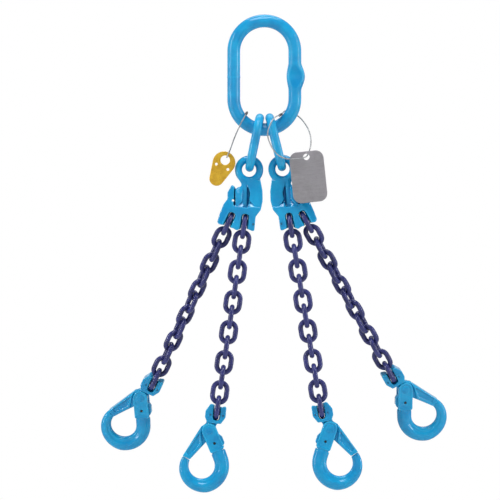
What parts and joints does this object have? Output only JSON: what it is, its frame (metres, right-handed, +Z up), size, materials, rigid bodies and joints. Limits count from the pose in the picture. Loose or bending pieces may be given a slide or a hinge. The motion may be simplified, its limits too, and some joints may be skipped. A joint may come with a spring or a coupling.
{
  "type": "chain sling",
  "caption": "Multi-leg lifting chain sling with a master link, shortening clutches, tags and self-locking hooks.",
  "frame": {"origin": "highest point of the master link's opening, where the crane hook seats", "axes": "+Z up, +X right, -Y towards the front, which shows the flat sides of the master link and hooks"},
  "size_m": [0.5555, 0.1846, 0.7546],
  "materials": {
    "chain_paint": "worn dark blue-violet dip paint",
    "wire": "drawn steel wire",
    "ferrule": "dark crimped sleeve",
    "pin_steel": "dark hardened steel",
    "spring_steel": "spring wire",
    "tag_steel": "scratched grey plate",
    "tag_gold": "mottled gold-coloured plate",
    "pivot_paint": "blue gloss paint over a riveted head",
    "blue_paint": "bright blue gloss paint over forged steel"
  },
  "bodies": {
    "master": {"master_link": "blue_paint"},
    "sublink_left": {"sublink_left": "blue_paint"},
    "clutch_left": {"clutch_left": "blue_paint", "clutch_pin_outer_left": "pin_steel", "clutch_pin_inner_left": "pin_steel"},
    "sublink_right": {"sublink_right": "blue_paint"},
    "clutch_right": {"clutch_right": "blue_paint", "clutch_pin_inner_right": "pin_steel", "clutch_pin_outer_right": "pin_steel"},
    "chain_outer_left_1": {"chain_outer_left_1": "chain_paint"},
    "chain_outer_left_2": {"chain_outer_left_2": "chain_paint"},
    "chain_outer_left_3": {"chain_outer_left_3": "chain_paint"},
    "chain_outer_left_4": {"chain_outer_left_4": "chain_paint"},
    "latch_outer_left": {"latch_outer_left": "blue_paint", "load_pin_outer_left": "pin_steel", "hook_pivot_outer_left": "pivot_paint"},
    "hook_outer_left": {"hook_outer_left": "blue_paint", "trigger_pin_outer_left": "pin_steel", "trigger_spring_outer_left": "spring_steel"},
    "trigger_outer_left": {"trigger_outer_left": "blue_paint"},
    "chain_inner_left_1": {"chain_inner_left_1": "chain_paint"},
    "chain_inner_left_2": {"chain_inner_left_2": "chain_paint"},
    "chain_inner_left_3": {"chain_inner_left_3": "chain_paint"},
    "chain_inner_left_4": {"chain_inner_left_4": "chain_paint"},
    "latch_inner_left": {"latch_inner_left": "blue_paint", "load_pin_inner_left": "pin_steel", "hook_pivot_inner_left": "pivot_paint"},
    "hook_inner_left": {"hook_inner_left": "blue_paint", "trigger_pin_inner_left": "pin_steel", "trigger_spring_inner_left": "spring_steel"},
    "trigger_inner_left": {"trigger_inner_left": "blue_paint"},
    "chain_inner_right_1": {"chain_inner_right_1": "chain_paint"},
    "chain_inner_right_2": {"chain_inner_right_2": "chain_paint"},
    "chain_inner_right_3": {"chain_inner_right_3": "chain_paint"},
    "chain_inner_right_4": {"chain_inner_right_4": "chain_paint"},
    "latch_inner_right": {"latch_inner_right": "blue_paint", "load_pin_inner_right": "pin_steel", "hook_pivot_inner_right": "pivot_paint"},
    "hook_inner_right": {"hook_inner_right": "blue_paint", "trigger_pin_inner_right": "pin_steel", "trigger_spring_inner_right": "spring_steel"},
    "trigger_inner_right": {"trigger_inner_right": "blue_paint"},
    "chain_outer_right_1": {"chain_outer_right_1": "chain_paint"},
    "chain_outer_right_2": {"chain_outer_right_2": "chain_paint"},
    "chain_outer_right_3": {"chain_outer_right_3": "chain_paint"},
    "chain_outer_right_4": {"chain_outer_right_4": "chain_paint"},
    "latch_outer_right": {"latch_outer_right": "blue_paint", "load_pin_outer_right": "pin_steel", "hook_pivot_outer_right": "pivot_paint"},
    "hook_outer_right": {"hook_outer_right": "blue_paint", "trigger_pin_outer_right": "pin_steel", "trigger_spring_outer_right": "spring_steel"},
    "trigger_outer_right": {"trigger_outer_right": "blue_paint"},
    "inspection_tag_wire": {"inspection_tag_wire": "wire", "inspection_tag_ferrule": "ferrule"},
    "inspection_tag": {"inspection_tag": "tag_gold"},
    "id_tag": {"id_tag": "tag_steel"},
    "id_tag_wire": {"id_tag_wire": "wire", "id_tag_ferrule": "ferrule"}
  },
  "joints": [
    {"name": "sublink_left_swing", "type": "hinge", "parent": "master", "child": "sublink_left", "pos_m": [-0.01075, 0, -0.16005], "axis": [0.9796, 0, -0.2011], "range_deg": [-20, 20]},
    {"name": "clutch_left_swing", "type": "hinge", "parent": "sublink_left", "child": "clutch_left", "pos_m": [-0.02328, 0, -0.22107], "axis": [0, 1, 0], "range_deg": [-8, 14]},
    {"name": "sublink_right_swing", "type": "hinge", "parent": "master", "child": "sublink_right", "pos_m": [0.01269, 0, -0.15957], "axis": [0.9703, 0, 0.2419], "range_deg": [-20, 6]},
    {"name": "clutch_right_swing", "type": "hinge", "parent": "sublink_right", "child": "clutch_right", "pos_m": [0.02776, 0, -0.22001], "axis": [0, 1, 0], "range_deg": [-16, 8]},
    {"name": "id_wire_swing", "type": "hinge", "parent": "master", "child": "id_tag_wire", "pos_m": [0.01269, 0, -0.15957], "axis": [0.9703, 0, 0.2419], "range_deg": [-20, 6]},
    {"name": "id_tag_swing", "type": "hinge", "parent": "id_tag_wire", "child": "id_tag", "pos_m": [0.0661, -0.021, -0.2047], "axis": [0.9945, 0, 0.1045], "range_deg": [-20, 0]},
    {"name": "inspection_wire_swing", "type": "hinge", "parent": "master", "child": "inspection_tag_wire", "pos_m": [-0.02768, 0, -0.15252], "axis": [0.8192, 0, -0.5736], "range_deg": [-10, 15]},
    {"name": "inspection_tag_swing", "type": "hinge", "parent": "inspection_tag_wire", "child": "inspection_tag", "pos_m": [-0.0617, -0.009, -0.2097], "axis": [0.9063, 0, -0.4226], "range_deg": [-8, 5]},
    {"name": "chain_outer_left_swing_1", "type": "hinge", "parent": "clutch_left", "child": "chain_outer_left_1", "pos_m": [-0.05522, 0, -0.30493], "axis": [0.9026, 0, -0.4305], "range_deg": [-15, 15]},
    {"name": "chain_outer_left_swing_2", "type": "hinge", "parent": "chain_outer_left_1", "child": "chain_outer_left_2", "pos_m": [-0.08358, 0.02302, -0.36546], "axis": [-0.0612, 0.9231, 0.3796], "range_deg": [-15, 15]},
    {"name": "chain_outer_left_swing_3", "type": "hinge", "parent": "chain_outer_left_2", "child": "chain_outer_left_3", "pos_m": [-0.11246, 0.04646, -0.42711], "axis": [0.746, 0.6586, -0.099], "range_deg": [-15, 15]},
    {"name": "chain_outer_left_swing_4", "type": "hinge", "parent": "chain_outer_left_3", "child": "chain_outer_left_4", "pos_m": [-0.14775, 0.07511, -0.50246], "axis": [-0.0612, 0.9231, 0.3796], "range_deg": [-15, 15]},
    {"name": "hook_head_outer_left_swing", "type": "hinge", "parent": "chain_outer_left_4", "child": "latch_outer_left", "pos_m": [-0.17611, 0.09813, -0.563], "axis": [0.9056, 0, -0.4242], "range_deg": [-15, 20]},
    {"name": "hook_outer_left_open", "type": "hinge", "parent": "latch_outer_left", "child": "hook_outer_left", "pos_m": [-0.1967, 0.10822, -0.58572], "axis": [-0.1381, -0.9455, -0.2948], "range_deg": [0, 45]},
    {"name": "trigger_outer_left_press", "type": "hinge", "parent": "hook_outer_left", "child": "trigger_outer_left", "pos_m": [-0.19498, 0.1144, -0.60635], "axis": [0.1381, 0.9455, 0.2948], "range_deg": [0, 12], "stiffness_Nm_per_rad": 0.4, "deforming": ["trigger_spring_outer_left"]},
    {"name": "chain_inner_left_swing_1", "type": "hinge", "parent": "clutch_left", "child": "chain_inner_left_1", "pos_m": [-0.03125, 0, -0.30814], "axis": [0.9914, 0, -0.1305], "range_deg": [-15, 15]},
    {"name": "chain_inner_left_swing_2", "type": "hinge", "parent": "chain_inner_left_1", "child": "chain_inner_left_2", "pos_m": [-0.04146, 0, -0.3781], "axis": [0, 1, 0], "range_deg": [-15, 15]},
    {"name": "chain_inner_left_swing_3", "type": "hinge", "parent": "chain_inner_left_2", "child": "chain_inner_left_3", "pos_m": [-0.05185, 0, -0.44934], "axis": [0.9895, 0, -0.1444], "range_deg": [-15, 15]},
    {"name": "chain_inner_left_swing_4", "type": "hinge", "parent": "chain_inner_left_3", "child": "chain_inner_left_4", "pos_m": [-0.06455, 0, -0.53642], "axis": [0, 1, 0], "range_deg": [-15, 15]},
    {"name": "hook_head_inner_left_swing", "type": "hinge", "parent": "chain_inner_left_4", "child": "latch_inner_left", "pos_m": [-0.07476, 0, -0.60638], "axis": [0.9949, 0, -0.1011], "range_deg": [-15, 20]},
    {"name": "hook_inner_left_open", "type": "hinge", "parent": "latch_inner_left", "child": "hook_inner_left", "pos_m": [-0.08685, 0, -0.63631], "axis": [0, -1, 0], "range_deg": [0, 45]},
    {"name": "trigger_inner_left_press", "type": "hinge", "parent": "hook_inner_left", "child": "trigger_inner_left", "pos_m": [-0.07851, 0, -0.65624], "axis": [0, 1, 0], "range_deg": [0, 12], "stiffness_Nm_per_rad": 0.4, "deforming": ["trigger_spring_inner_left"]},
    {"name": "chain_inner_right_swing_1", "type": "hinge", "parent": "clutch_right", "child": "chain_inner_right_1", "pos_m": [0.04024, 0, -0.30655], "axis": [0.9833, 0, 0.1822], "range_deg": [-15, 15]},
    {"name": "chain_inner_right_swing_2", "type": "hinge", "parent": "chain_inner_right_1", "child": "chain_inner_right_2", "pos_m": [0.05179, 0, -0.3763], "axis": [0, 1, 0], "range_deg": [-15, 15]},
    {"name": "chain_inner_right_swing_3", "type": "hinge", "parent": "chain_inner_right_2", "child": "chain_inner_right_3", "pos_m": [0.06355, 0, -0.44734], "axis": [0.9866, 0, 0.1633], "range_deg": [-15, 15]},
    {"name": "chain_inner_right_swing_4", "type": "hinge", "parent": "chain_inner_right_3", "child": "chain_inner_right_4", "pos_m": [0.07792, 0, -0.53415], "axis": [0, 1, 0], "range_deg": [-15, 15]},
    {"name": "hook_head_inner_right_swing", "type": "hinge", "parent": "chain_inner_right_4", "child": "latch_inner_right", "pos_m": [0.08947, 0, -0.60391], "axis": [0.9866, 0, 0.1633], "range_deg": [-15, 20]},
    {"name": "hook_inner_right_open", "type": "hinge", "parent": "latch_inner_right", "child": "hook_inner_right", "pos_m": [0.10341, 0, -0.63302], "axis": [0, 1, 0], "range_deg": [0, 45]},
    {"name": "trigger_inner_right_press", "type": "hinge", "parent": "hook_inner_right", "child": "trigger_inner_right", "pos_m": [0.09634, 0, -0.65343], "axis": [0, -1, 0], "range_deg": [0, 12], "stiffness_Nm_per_rad": 0.4, "deforming": ["trigger_spring_inner_right"]},
    {"name": "chain_outer_right_swing_1", "type": "hinge", "parent": "clutch_right", "child": "chain_outer_right_1", "pos_m": [0.06401, 0, -0.30209], "axis": [0.8788, 0, 0.4772], "range_deg": [-15, 15]},
    {"name": "chain_outer_right_swing_2", "type": "hinge", "parent": "chain_outer_right_1", "child": "chain_outer_right_2", "pos_m": [0.09652, 0.02302, -0.3605], "axis": [0.0345, 0.9231, 0.383], "range_deg": [-15, 15]},
    {"name": "chain_outer_right_swing_3", "type": "hinge", "parent": "chain_outer_right_2", "child": "chain_outer_right_3", "pos_m": [0.12963, 0.04646, -0.41999], "axis": [0.7373, -0.6586, 0.1508], "range_deg": [-15, 15]},
    {"name": "chain_outer_right_swing_4", "type": "hinge", "parent": "chain_outer_right_3", "child": "chain_outer_right_4", "pos_m": [0.1701, 0.07511, -0.49269], "axis": [0.0345, 0.9231, 0.383], "range_deg": [-15, 15]},
    {"name": "hook_head_outer_right_swing", "type": "hinge", "parent": "chain_outer_right_4", "child": "latch_outer_right", "pos_m": [0.20261, 0.09813, -0.5511], "axis": [0.8738, 0, 0.4863], "range_deg": [-15, 20]},
    {"name": "hook_outer_right_open", "type": "hinge", "parent": "latch_outer_right", "child": "hook_outer_right", "pos_m": [0.22473, 0.10822, -0.57233], "axis": [-0.1583, 0.9455, 0.2845], "range_deg": [0, 45]},
    {"name": "trigger_outer_right_press", "type": "hinge", "parent": "hook_outer_right", "child": "trigger_outer_right", "pos_m": [0.22445, 0.1144, -0.59303], "axis": [0.1583, -0.9455, -0.2845], "range_deg": [0, 12], "stiffness_Nm_per_rad": 0.4, "deforming": ["trigger_spring_outer_right"]}
  ],
  "couplings": [
    {"joint": "id_wire_swing", "follows": "sublink_right_swing", "ratio": 1}
  ]
}
